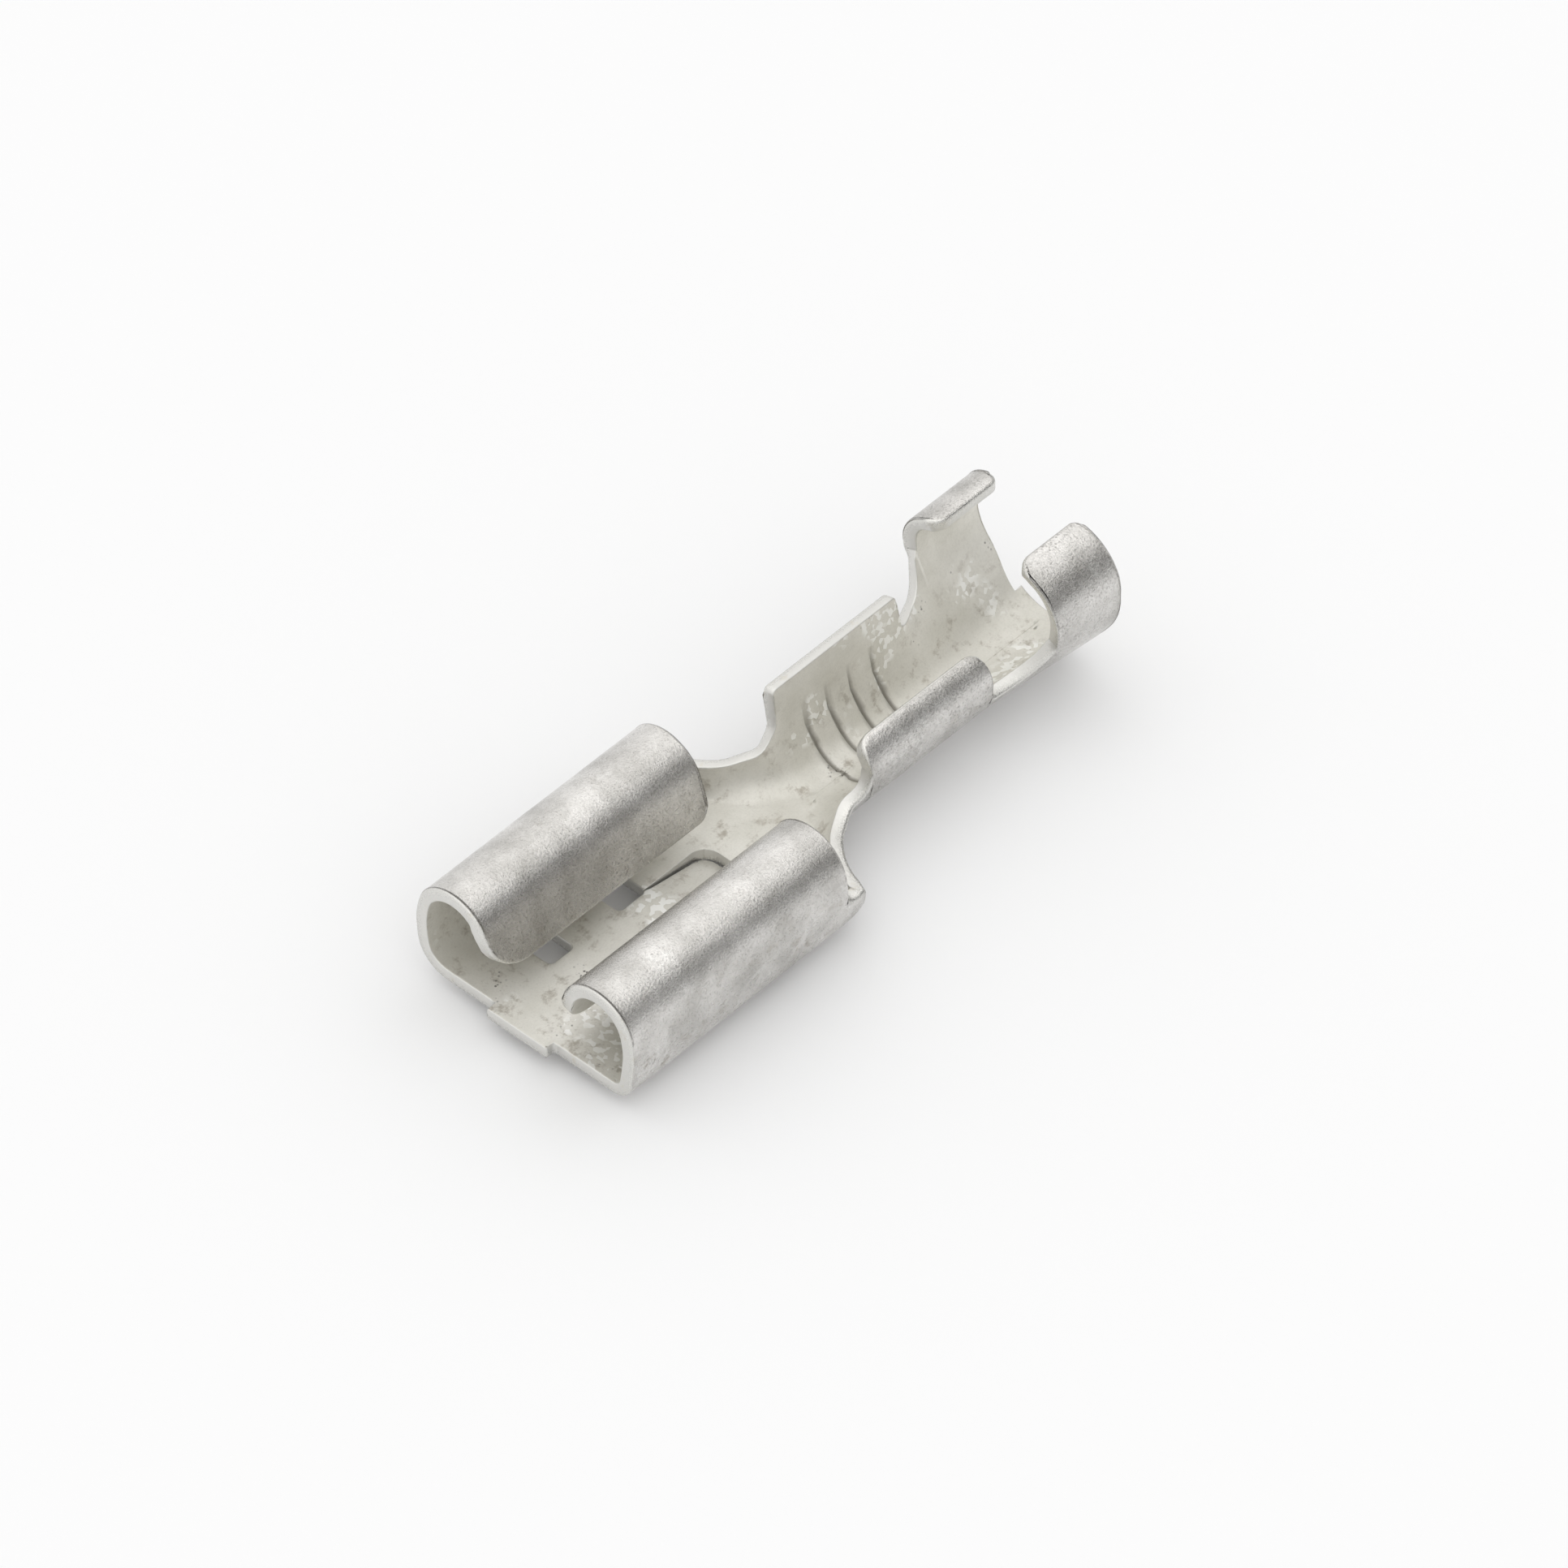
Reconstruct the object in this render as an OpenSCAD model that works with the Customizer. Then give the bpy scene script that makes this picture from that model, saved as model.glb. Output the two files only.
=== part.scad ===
// Female spade terminal with open crimp barrels, for a 6.3 x 0.8 mm male tab.
// It is one strip of tin-plated brass, cut flat and folded up: a flat floor with a receptacle whose
// two sides roll over the tab, a narrow neck, a conductor barrel with serrations inside, and a taller
// insulation barrel. X runs from the mouth to the wire end, Y across to the left, and Z up from the
// floor's underside. Every section is a list of folds, and behind the receptacle the strip's side is
// swept along the edge of the floor, so one bend runs from the shoulder to the wire end.

/* [Strip] */
// Thickness of the brass strip
sheet = 0.4; // [0.3:0.05:0.5]

/* [Male tab that it takes] */
// Width of the tab
tab_width = 6.3; // [5.8:0.1:7]
// Thickness of the tab
tab_thickness = 0.8; // [0.7:0.05:1]
// Play between the tab's edge and the side wall's fold, on each side
tab_play = 0.1; // [0:0.05:0.3]
// How much lower the gap under a roll is than the tab, which gives the grip
tab_pinch = 0.15; // [0.05:0.05:0.3]

/* [Receptacle] */
// Length of the two rolls
roll_length = 8.2; // [7.6:0.1:9]
// Inner radius of the fold between floor and side
corner_radius = 0.1; // [0.05:0.05:0.4]
// Angle of the side above the floor, in degrees
side_angle = 82; // [78:1:86]
// Height of the straight foot of the side
side_foot = 0.7; // [0.5:0.05:1]
// Inner radius of the bulging upper side
bulge_radius = 2.8; // [2:0.1:4]
// Angle that the bulging upper side turns through, in degrees
bulge_angle = 22; // [15:1:28]
// Inner radius of the roll's arch
arch_radius = 0.86; // [0.7:0.02:1]
// Angle that the arch turns through, in degrees
arch_angle = 148; // [140:1:155]
// Radius of the rounded corner where each roll's tip meets the mouth
mouth_corner = 1.3; // [0.8:0.1:1.4]
// Radius of the rounded corner at the rear end of each roll's tip
rear_corner = 0.45; // [0.2:0.05:0.8]

/* [Floor] */
// Width of the stub left by the cut-off carrier strip
stub_width = 2.1; // [1.5:0.1:3]
// How far the stub stands out of the mouth
stub_length = 0.3; // [0.1:0.05:0.6]
// Width of each window across the floor
window_width = 1; // [0.7:0.05:1.3]
// Length of the front windows
front_window_length = 0.88; // [0.6:0.02:1.1]
// Start of the front windows, from the mouth
front_window_start = 1.97; // [1.6:0.01:2.4]
// Length of the rear windows
rear_window_length = 1; // [0.7:0.05:1.3]
// Start of the rear windows, from the mouth
rear_window_start = 4.58; // [4.2:0.02:5]
// Radius of the windows' corners
window_corner = 0.12; // [0.05:0.01:0.25]

/* [Locking lance] */
// Width of the lance, which is also the distance between the two windows of a pair
lance_width = 1.84; // [1.5:0.02:2.2]
// Length of the lance from the rear windows to its free end
lance_length = 2.25; // [1.8:0.05:2.5]
// How far the lance's free end is bent down
lance_drop = 0.4; // [0.2:0.05:0.6]
// Radius of the lance's two free corners
lance_corner = 0.5; // [0.2:0.05:0.8]
// Width of the slit that the shear leaves round the lance
lance_slit = 0.05; // [0.03:0.01:0.1]

/* [Neck] */
// Height of the neck's edges above the underside
neck_edge = 1.2; // [1.05:0.05:1.3]
// Distance from the end of the rolls to the front of the conductor barrel
neck_length = 3.2; // [3:0.05:3.6]
// Radius of the neck's waist, seen from above, on the outside of its walls
waist_radius = 2.55; // [2.45:0.05:2.8]
// Radius of the curve by which the neck's edges rise to the conductor wings
neck_fillet = 1; // [0.6:0.05:1]

/* [Conductor barrel] */
// Inner radius of the bend along both sides of the floor, from the neck to the wire end
bend_radius = 1.1; // [1:0.05:1.2]
// Half the width of the conductor barrel's flat floor
conductor_floor = 0.25; // [0.1:0.05:0.35]
// Length of the conductor barrel
conductor_length = 4.8; // [4.2:0.1:5.5]
// Length of the straight part of each conductor wing
conductor_wing = 0.75; // [0.75:0.05:1.2]
// Angle that the left conductor wing's top curls in by, in degrees
conductor_curl_left = 28; // [20:1:60]
// Angle that the right conductor wing's top curls in by, in degrees
conductor_curl_right = 42; // [20:1:60]
// Inner radius of a conductor wing's curled top
conductor_curl_radius = 0.8; // [0.5:0.05:1.2]
// Number of serration grooves
groove_count = 4; // [1:1:5]
// Distance between two grooves
groove_pitch = 0.87; // [0.7:0.01:0.9]
// Width of each groove
groove_width = 0.18; // [0.1:0.01:0.25]
// Depth of each groove
groove_depth = 0.1; // [0.05:0.01:0.15]
// Distance from the barrel's front end to the first groove
groove_start = 0.75; // [0.5:0.05:0.8]

/* [Insulation barrel] */
// Gap between the wings of the two barrels
notch_length = 1.1; // [0.8:0.05:1.5]
// Height of the gap's edges above the underside
notch_edge = 1.3; // [1.1:0.05:1.5]
// Radius of the gap's two corners
notch_fillet = 0.35; // [0.2:0.05:0.4]
// How far before the conductor barrel's rear end the floor begins to widen
flare_lead = 0.35; // [0:0.05:0.5]
// Radius of the floor's edge where it begins to widen
flare_radius = 1.9; // [1.7:0.05:2.2]
// Angle at which the floor widens, in degrees
flare_angle = 42; // [36:1:45]
// Radius of the floor's edge where it runs straight again
flare_end_radius = 0.3; // [0.1:0.05:0.4]
// Half the width of the insulation barrel's flat floor
insulation_floor = 1.15; // [1:0.05:1.4]
// Length of the insulation wings
insulation_length = 2.8; // [2.4:0.1:3.5]
// Length of the straight part of each insulation wing
insulation_wing = 1.5; // [1.2:0.05:2]
// Angle that the left insulation wing's top curls in by, in degrees
insulation_curl_left = 78; // [40:1:85]
// Angle that the right insulation wing's top curls in by, in degrees
insulation_curl_right = 55; // [40:1:85]
// Inner radius of an insulation wing's curled top
insulation_curl_radius = 1.25; // [0.9:0.05:1.5]
// Radius of the wings' corners
wing_corner = 0.3; // [0.1:0.05:0.5]
// How far the floor runs on behind the insulation wings
tail_length = 0.3; // [0.1:0.05:0.5]
// Angle that the edges of the tail are bent up by, in degrees
tail_bend = 35; // [20:1:60]

/* [Hidden] */
$fn = 96;

tin_plate = [0.80, 0.79, 0.76];
past = 1;
lap = 0.02;

// A section is a list of folds from the middle of the floor outwards. [length, 0] is a flat run and
// [inner radius, angle] is a bend towards the inside.
// fold_end gives [y, z, heading] where the underside ends.
function fold_end(folds, i = 0, y = 0, z = 0, h = 0) =
    i == len(folds) ? [y, z, h]
    : folds[i][1] == 0
        ? fold_end(folds, i + 1, y + folds[i][0] * cos(h), z + folds[i][0] * sin(h), h)
        : let (r = folds[i][0] + sheet, a = h + folds[i][1])
          fold_end(folds, i + 1, y + r * (sin(a) - sin(h)), z + r * (cos(h) - cos(a)), a);

// Receptacle: each roll's tip runs down until the gap under it is the tab's thickness less the pinch.
floor_half = tab_width / 2 + tab_play;
corner_folds = [[floor_half, 0], [corner_radius, side_angle]];
bulge_folds = concat(corner_folds, [[side_foot, 0], [bulge_radius, bulge_angle]]);
arch_folds = concat(bulge_folds, [[arch_radius, arch_angle]]);
arch_end = fold_end(arch_folds);
tip_height = sheet + tab_thickness - tab_pinch;
tip_run = (arch_end[1] + sheet * cos(arch_end[2]) - tip_height) / -sin(arch_end[2]);
receptacle_folds = concat(arch_folds, [[tip_run, 0]]);
crest = fold_end(concat(bulge_folds, [[arch_radius, 180 - side_angle - bulge_angle]]));

// Barrels: the folds of one side from the edge of the floor outwards.
wall_folds = [[bend_radius, 90], [conductor_wing, 0]];
function conductor_folds(curl) = concat(wall_folds, [[conductor_curl_radius, curl]]);
function insulation_folds(curl) = [[bend_radius, 90], [insulation_wing, 0], [insulation_curl_radius, curl]];
bend_outside = bend_radius + sheet;

// Places along X.
lance_start = rear_window_start + rear_window_length;
conductor_start = roll_length + neck_length;
conductor_end = conductor_start + conductor_length;
insulation_start = conductor_end + notch_length;
insulation_end = insulation_start + insulation_length;
flare_start = conductor_end - flare_lead;

// The floor's edge seen from above. It comes round the waist, runs straight along the conductor
// barrel, widens and runs straight again. [length, 0] is a straight run, and [radius, angle] turns
// away from the middle, or towards it where the angle is negative.
waist = [conductor_start, waist_radius + bend_outside + conductor_floor];
waist_edge = waist_radius + bend_outside;
widening = insulation_floor - conductor_floor - (flare_radius + flare_end_radius) * (1 - cos(flare_angle));
flare_run = widening / sin(flare_angle);
flare_end = flare_start + (flare_radius + flare_end_radius) * sin(flare_angle)
            + flare_run * cos(flare_angle);
barrel_edge = [[flare_start - conductor_start, 0], [flare_radius, flare_angle], [flare_run, 0],
               [flare_end_radius, -flare_angle], [insulation_end + past - flare_end, 0]];

// Draws half a section between two depths of the strip, from the middle outwards, with the underside
// on the drawing's axis.
module half_section(folds, low = 0, high = sheet, i = 0) {
    if (i < len(folds)) {
        size = folds[i][0];
        angle = folds[i][1];
        if (angle == 0) {
            if (size > 0) translate([0, low]) square([size, high - low]);
            translate([size, 0]) half_section(folds, low, high, i + 1);
        } else translate([0, size + sheet]) {
            intersection() {
                difference() {
                    circle(size + sheet - low);
                    circle(size + sheet - high);
                }
                polygon(concat([[0, 0]], [for (k = [0:4]) let (a = (angle + 2 * lap) * k / 4 - lap - 90)
                    3 * (size + sheet) * [cos(a), sin(a)]]));
            }
            rotate(angle) translate([0, -size - sheet]) half_section(folds, low, high, i + 1);
        }
    }
}

module section(folds, low = 0, high = sheet) {
    half_section(folds, low, high);
    mirror([1, 0]) half_section(folds, low, high);
}

// Stands a drawing of Y and Z up at x and runs it along X.
module along_x(x, length) {
    translate([x, 0, 0]) rotate([90, 0, 90]) linear_extrude(length) children();
}

// Sweeps the folds of one side along a run of the floor's edge.
module sweep(edge, folds, i = 0) {
    if (i < len(edge)) {
        size = edge[i][0];
        turn = edge[i][1];
        if (turn == 0) {
            along_x(0, size) half_section(folds);
            translate([size, 0, 0]) sweep(edge, folds, i + 1);
        } else if (turn > 0) translate([0, size, 0]) {
            rotate(-90) rotate_extrude(angle = turn) translate([size, 0]) mirror([1, 0]) half_section(folds);
            rotate(turn) translate([0, -size, 0]) sweep(edge, folds, i + 1);
        } else translate([0, -size, 0]) {
            rotate(90 + turn) rotate_extrude(angle = -turn) half_section(concat([[size, 0]], folds));
            rotate(turn) translate([0, size, 0]) sweep(edge, folds, i + 1);
        }
    }
}

// The part of a barrel's side between two places along X. side is 0 on the left and 1 on the right.
module barrel_side(side, folds, from, to) {
    intersection() {
        mirror([0, side, 0]) translate([conductor_start, conductor_floor, 0]) sweep(barrel_edge, folds);
        translate([from, -floor_half - past, -past])
            cube([to - from, 2 * (floor_half + past), crest[1] * 3]);
    }
}

// Takes a corner of the strip off in the side view: what lies beyond radius r of the corner at x, z.
// front is 1 for a corner that faces the mouth, and low is 1 for one that faces down.
module corner_off(x, z, r, front, low, width = 2 * floor_half) {
    translate([x, width / 2, z]) rotate([90, 0, 0]) linear_extrude(width)
        mirror([front, 0]) mirror([0, low]) difference() {
            translate([-r, -r]) square(r + past);
            translate([-r, -r]) circle(r);
        }
}

// Clears what lies above a cut edge at height z between two places along X, in the side view. The
// edge rises by a quarter circle to a wing at each end, or only at its rear one.
module clear_above(from, to, z, r, both) {
    translate([0, floor_half + past, 0]) rotate([90, 0, 0]) linear_extrude(2 * (floor_half + past)) {
        translate([both ? from + r : from, z]) square([to - (both ? from + r : from) - r, 4 * r]);
        translate([from, z + r]) square([to - from, 4 * r]);
        for (x = both ? [from + r, to - r] : [to - r]) translate([x, z + r]) circle(r);
    }
}

// Flat outline from x = 0 to length, with its two far corners rounded.
module tongue(length, half, corner) {
    translate([0, -half]) square([length - corner, 2 * half]);
    translate([0, corner - half]) square([length, 2 * (half - corner)]);
    for (s = [-1, 1]) translate([length - corner, s * (half - corner)]) circle(corner);
}

// A pair of windows through the floor, one beside each edge of the lance.
module window_pair(x, length) {
    for (s = [-1, 1]) translate([x + length / 2, s * (lance_width + window_width) / 2, -past])
        linear_extrude(sheet + 2 * past) {
            square([length - 2 * window_corner, window_width], center = true);
            square([length, window_width - 2 * window_corner], center = true);
            for (i = [-1, 1], j = [-1, 1])
                translate([i * (length / 2 - window_corner), j * (window_width / 2 - window_corner)])
                    circle(window_corner);
        }
}

// The locking lance, sheared out of the floor on three sides and bent down about its root.
module lance() {
    translate([lance_start, 0, 0]) rotate([0, asin(lance_drop / lance_length), 0])
        translate([-lance_slit, 0, 0]) linear_extrude(sheet)
            tongue(lance_length + lance_slit, lance_width / 2, lance_corner);
}

// What the waist leaves free on the left: all that is outside its wall and under its bend.
module beside_waist() {
    translate([waist[0], waist[1], 0]) rotate_extrude() difference() {
        translate([0, -past]) square([waist_edge, past + crest[1]]);
        translate([waist_edge, bend_outside]) circle(bend_outside);
        translate([waist_radius, bend_outside]) square([bend_outside, crest[1]]);
    }
}

// The waist's left wall, ended by the outside of the receptacle's side.
module waist_wall() {
    side = fold_end(corner_folds);
    intersection() {
        translate([waist[0], waist[1], 0]) rotate(-90 - side_angle) rotate_extrude(angle = side_angle)
            translate([waist_edge, 0]) mirror([1, 0]) half_section(wall_folds);
        along_x(0, conductor_start) {
            square([floor_half, 2 * bend_outside]);
            translate([floor_half, corner_radius + sheet]) circle(corner_radius + sheet);
            polygon([[0, corner_radius + sheet], [floor_half, corner_radius + sheet], [side[0], side[1]],
                     [side[0], side[1]] + 2 * bend_outside * [cos(side_angle), sin(side_angle)],
                     [0, 2 * bend_outside]]);
        }
    }
}

// The receptacle and, behind it, the floor and foot of its sides, cut away beside the waist.
module receptacle() {
    difference() {
        union() {
            along_x(0, roll_length) section(receptacle_folds);
            along_x(roll_length, neck_length) section(bulge_folds);
            translate([-stub_length, -stub_width / 2, 0]) cube([2 * stub_length, stub_width, sheet]);
        }
        for (side = [0, 1]) mirror([0, side, 0]) beside_waist();
        clear_above(roll_length, conductor_start, neck_edge, neck_fillet, false);
        window_pair(front_window_start, front_window_length);
        window_pair(rear_window_start, rear_window_length);
        translate([lance_start, 0, -past]) linear_extrude(sheet + 2 * past)
            tongue(lance_length + lance_slit, lance_width / 2 + lance_slit, lance_corner + lance_slit);
        corner_off(0, tip_height, mouth_corner, 1, 1, 2 * crest[0]);
        corner_off(roll_length, tip_height, rear_corner, 0, 1, 2 * crest[0]);
    }
    lance();
}

module neck() {
    difference() {
        for (side = [0, 1]) mirror([0, side, 0]) waist_wall();
        clear_above(roll_length, conductor_start, neck_edge, neck_fillet, false);
    }
}

// The flat floor from the neck's rear end to the wire end.
module barrel_floor() {
    bend_end = [flare_start + flare_radius * sin(flare_angle),
                conductor_floor + flare_radius * (1 - cos(flare_angle))];
    run_end = bend_end + flare_run * [cos(flare_angle), sin(flare_angle)];
    linear_extrude(sheet) {
        translate([conductor_start, -conductor_floor])
            square([flare_start - conductor_start, 2 * conductor_floor]);
        for (side = [0, 1]) mirror([0, side]) difference() {
            polygon([[flare_start, 0], [flare_start, conductor_floor], bend_end, run_end,
                     [flare_end, insulation_floor - flare_end_radius], [flare_end, 0]]);
            translate([flare_start, conductor_floor + flare_radius]) circle(flare_radius);
        }
        translate([flare_end, -insulation_floor])
            square([insulation_end + tail_length - flare_end, 2 * insulation_floor]);
    }
}

module conductor_barrel() {
    curls = [conductor_curl_left, conductor_curl_right];
    difference() {
        for (side = [0, 1]) barrel_side(side, conductor_folds(curls[side]), conductor_start, conductor_end);
        for (side = [0, 1]) mirror([0, side, 0]) {
            top = conductor_floor + fold_end(conductor_folds(curls[side]))[1];
            corner_off(conductor_start, top, wing_corner, 1, 0);
            corner_off(conductor_end, top, wing_corner, 0, 0);
        }
    }
}

module notch() {
    difference() {
        for (side = [0, 1]) barrel_side(side, wall_folds, conductor_end, insulation_start);
        clear_above(conductor_end, insulation_start, notch_edge, notch_fillet, true);
    }
}

module insulation_barrel() {
    curls = [insulation_curl_left, insulation_curl_right];
    for (side = [0, 1]) barrel_side(side, insulation_folds(curls[side]), insulation_start, insulation_end);
    for (side = [0, 1]) mirror([0, side, 0]) along_x(insulation_end, tail_length)
        translate([insulation_floor, 0]) half_section([[bend_radius, tail_bend]]);
}

// Serration grooves pressed into the inside of the conductor barrel, up to where its wings curl in.
module serrations() {
    for (i = [0:groove_count - 1]) along_x(conductor_start + groove_start + i * groove_pitch, groove_width)
        section(concat([[conductor_floor, 0]], wall_folds), sheet - groove_depth, sheet + groove_depth);
}

module terminal() {
    color(tin_plate) difference() {
        union() {
            receptacle();
            neck();
            barrel_floor();
            conductor_barrel();
            notch();
            insulation_barrel();
        }
        serrations();
    }
}

terminal();
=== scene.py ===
import math

import bpy
import numpy as np
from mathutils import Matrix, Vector


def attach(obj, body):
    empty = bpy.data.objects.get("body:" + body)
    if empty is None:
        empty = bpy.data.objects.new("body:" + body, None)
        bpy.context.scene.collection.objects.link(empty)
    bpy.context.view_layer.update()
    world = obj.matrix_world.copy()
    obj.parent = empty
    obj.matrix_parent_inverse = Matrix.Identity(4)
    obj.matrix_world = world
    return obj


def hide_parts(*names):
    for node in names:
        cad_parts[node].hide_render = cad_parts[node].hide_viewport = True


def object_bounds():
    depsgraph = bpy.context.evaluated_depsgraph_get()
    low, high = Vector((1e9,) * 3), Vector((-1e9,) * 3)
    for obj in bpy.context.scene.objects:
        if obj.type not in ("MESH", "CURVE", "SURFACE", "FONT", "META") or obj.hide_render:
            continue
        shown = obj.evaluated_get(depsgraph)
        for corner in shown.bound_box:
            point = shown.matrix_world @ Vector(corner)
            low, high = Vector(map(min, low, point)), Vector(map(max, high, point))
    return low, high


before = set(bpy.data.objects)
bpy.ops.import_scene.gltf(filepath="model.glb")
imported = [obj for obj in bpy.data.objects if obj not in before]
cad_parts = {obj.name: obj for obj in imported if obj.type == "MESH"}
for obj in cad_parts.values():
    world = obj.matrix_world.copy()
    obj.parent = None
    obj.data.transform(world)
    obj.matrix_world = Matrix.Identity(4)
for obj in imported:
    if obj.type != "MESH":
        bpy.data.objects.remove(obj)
cad_box = [list(corner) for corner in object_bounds()]

MM = 0.001


# The camera looks down at the mouth from the front left, from far away, as a long lens does for a
# piece no bigger than a fingernail. The terminal lies on its floor across the view.
azimuth, elevation = math.radians(-47.3), math.radians(45.7)
to_camera = Vector((math.sin(azimuth) * math.cos(elevation),
                    -math.cos(azimuth) * math.cos(elevation), math.sin(elevation)))
view_right = Vector((math.cos(azimuth), math.sin(azimuth), 0))
view_up = to_camera.cross(view_right)
view_centre = (6.72, 6.45)
looked_at = (view_right * view_centre[0] + view_up * view_centre[1]) * MM
stand_off = 400 * MM
view_width = 40.59 * MM

camera_data = bpy.data.cameras.new("camera")
camera_data.sensor_width = 36
camera_data.lens = camera_data.sensor_width * stand_off / view_width
camera_data.clip_start = 10 * MM
camera_data.clip_end = 20
camera = bpy.data.objects.new("camera", camera_data)
camera.location = looked_at + to_camera * stand_off
camera.rotation_mode = "QUATERNION"
camera.rotation_quaternion = (-to_camera).to_track_quat("-Z", "Y")
bpy.context.scene.collection.objects.link(camera)
bpy.context.scene.camera = camera
bpy.context.scene.view_settings.view_transform = "Standard"


# The strip is 0.4 mm brass, tin-plated, blanked flat and folded up in a press. A section is a list of
# folds from the middle of the floor outwards, each a run of the strip's middle and the angle that it
# turns through. What is known of the strip is its section at any place along X.
# Lengths are in mm and angles in degrees. Where a size differs between the sides, the left comes first.
sheet = 0.4
floor_half, roll_length, tab_gap = 3.249, 8.2, 0.65
corner_radius, side_angle, side_foot = (0.65, 0.25), 82, 0.7
bulge_radius, bulge_angle, crest_radius, crest_angle = 2.8, 22, 0.86, 148
tip_slope = side_angle + bulge_angle + crest_angle - 180
tight_corner = 0.1


def bend(radius, angle):
    """A bend of that inner radius as [run along the middle of the strip, angle]."""
    return [(radius + sheet / 2) * math.radians(angle), angle]


def smooth(low, high, x):
    u = min(1, max(0, (x - low) / (high - low)))
    return u * u * (3 - 2 * u)


def receptacle_corner(right):
    """Flat half width, radius and straight foot of the receptacle's side, whose outside stays in place."""
    radius, turned = corner_radius[right], math.radians(side_angle)
    more = radius - tight_corner
    rise = more * (1 - math.cos(turned))
    flat = floor_half - more * math.sin(turned) + rise / math.tan(turned)
    return flat, radius, side_foot - rise / math.sin(turned)


# The neck: a waist seen from above, an arc on the outside of each wall, which a short blend joins to the
# receptacle's wall. Its straight wall has a run for each fold of the barrel that it turns into.
neck_wall, waist_radius, waist_room, waist_side = 0.585, 2.55, (0.28, 0.1), 0.9995
bend_radius, trough_floor, shoulder_run, barrel_blend = 1.1, 0.05, 1.9, 1.2
neck_runs, wall_blend = (0.45, 0.6, 3, 1), 0.05
conductor_start, conductor_end = 11.4, 16.2


def half_width(x, right):
    """Outside half width of the neck, which its waist narrows, a little less on the left."""
    wall = floor_half + neck_wall
    reach = min(conductor_start - x, waist_radius * waist_side)
    arc = bend_radius + sheet + trough_floor + waist_room[right] + waist_radius - math.sqrt(
        waist_radius ** 2 - reach ** 2)
    return wall if arc > wall + 3 * wall_blend else -wall_blend * math.log(
        math.exp(-wall / wall_blend) + math.exp(-arc / wall_blend))


def between(first, last, share):
    """The section that lies at that share of the way from one to another."""
    return [[a + (c - a) * share, b + (d - b) * share] for (a, b), (c, d) in zip(first, last)]


# The two barrels stand on one trough, whose flanks rise at an angle. The left conductor wing leans out
# and the right one curls over. The insulation wings are larger, and each reaches and curls differently.
insulation_start, insulation_end, tail_end, barrel_join = 17.4, 20.1, 20.39, 0.1
trough_angle, trough_widening, widening_lag = 56, 0.185, 0.3
conductor_lean, conductor_flank, conductor_shoulder = (80, 77), 0.45, 1.0
conductor_wing, conductor_curl, conductor_curl_radius = (1.4, 0.25), (6, 72), 0.6
insulation_reach, insulation_height, insulation_shoulder = (2.84, 2.48), (3.49, 2.93), 1.9
insulation_curl, insulation_curl_radius = (100, 94), (0.65, 1.2)


def barrel(x, right):
    """A barrel's section. The trough widens behind the conductor barrel, under the insulation wings."""
    trough = bend_radius + trough_widening * max(0, x - conductor_end - widening_lag)
    lean = conductor_lean[0] + (conductor_lean[1] - conductor_lean[0]) * smooth(
        conductor_start, conductor_end, x)
    stand = 90 if right else lean
    conductor = [[trough_floor, 0], bend(trough, trough_angle), [conductor_flank, 0],
                 bend(conductor_shoulder, stand - trough_angle), [conductor_wing[right], 0],
                 bend(conductor_curl_radius, conductor_curl[right])]
    turned = math.radians(trough_angle)
    outer, shoulder = trough + sheet, insulation_shoulder + sheet
    outwards = (insulation_reach[right] - trough_floor - outer * math.sin(turned)
                - shoulder * (1 - math.sin(turned)))
    upwards = insulation_height[right] - outer * (1 - math.cos(turned)) - shoulder * math.cos(turned)
    flank = min(outwards / math.cos(turned), upwards / math.sin(turned))
    insulation = [[trough_floor, 0], bend(trough, trough_angle), [flank, 0],
                  bend(insulation_shoulder, 90 - trough_angle), [upwards - flank * math.sin(turned), 0],
                  bend(insulation_curl_radius[right], insulation_curl[right])]
    share = smooth(conductor_end - barrel_join, insulation_start + barrel_join, x)
    return between(conductor, insulation, share)


def folds(x, right):
    """The strip's section at x on one side: flat floor, bend, straight wall, and what curls in."""
    flat, radius, foot = receptacle_corner(right)
    if x <= roll_length:
        arch = [[flat, 0], bend(radius, side_angle), [foot, 0], bend(bulge_radius, bulge_angle),
                bend(crest_radius, crest_angle)]
        slope = math.radians(tip_slope)
        lowest = on_strip(arch, sum(run for run, _ in arch))[1] - sheet / 2 * math.cos(slope)
        return arch + [[(lowest - sheet - tab_gap) / math.sin(slope), 0]]
    if x >= conductor_start:
        return barrel(x, right)
    eased = smooth(roll_length, roll_length + shoulder_run, x)
    radius += (bend_radius - radius) * eased
    angle = side_angle + (90 - side_angle) * eased
    lean = math.radians(angle)
    flat = half_width(x, right) - (radius + sheet) * math.sin(lean) - foot * math.cos(lean) * (1 - eased)
    neck = [[flat, 0], bend(radius, angle)] + [[run, 0] for run in neck_runs]
    share = smooth(conductor_start - barrel_blend, conductor_start, x)
    return between(neck, barrel(conductor_start, right), share)


def on_strip(runs, s):
    """[y, z] on the middle of the strip at distance s along it from the middle of the floor."""
    y, z, heading = 0, sheet / 2, 0
    for run, angle in runs:
        part = min(s, run)
        if angle and run:
            turn = math.radians(angle) * part / run
            radius = run / math.radians(angle)
            y += radius * (math.sin(heading + turn) - math.sin(heading))
            z += radius * (math.cos(heading) - math.cos(heading + turn))
            heading += turn
        else:
            y += part * math.cos(heading)
            z += part * math.sin(heading)
        s -= part
        if s <= 0:
            break
    return y, z


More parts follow.
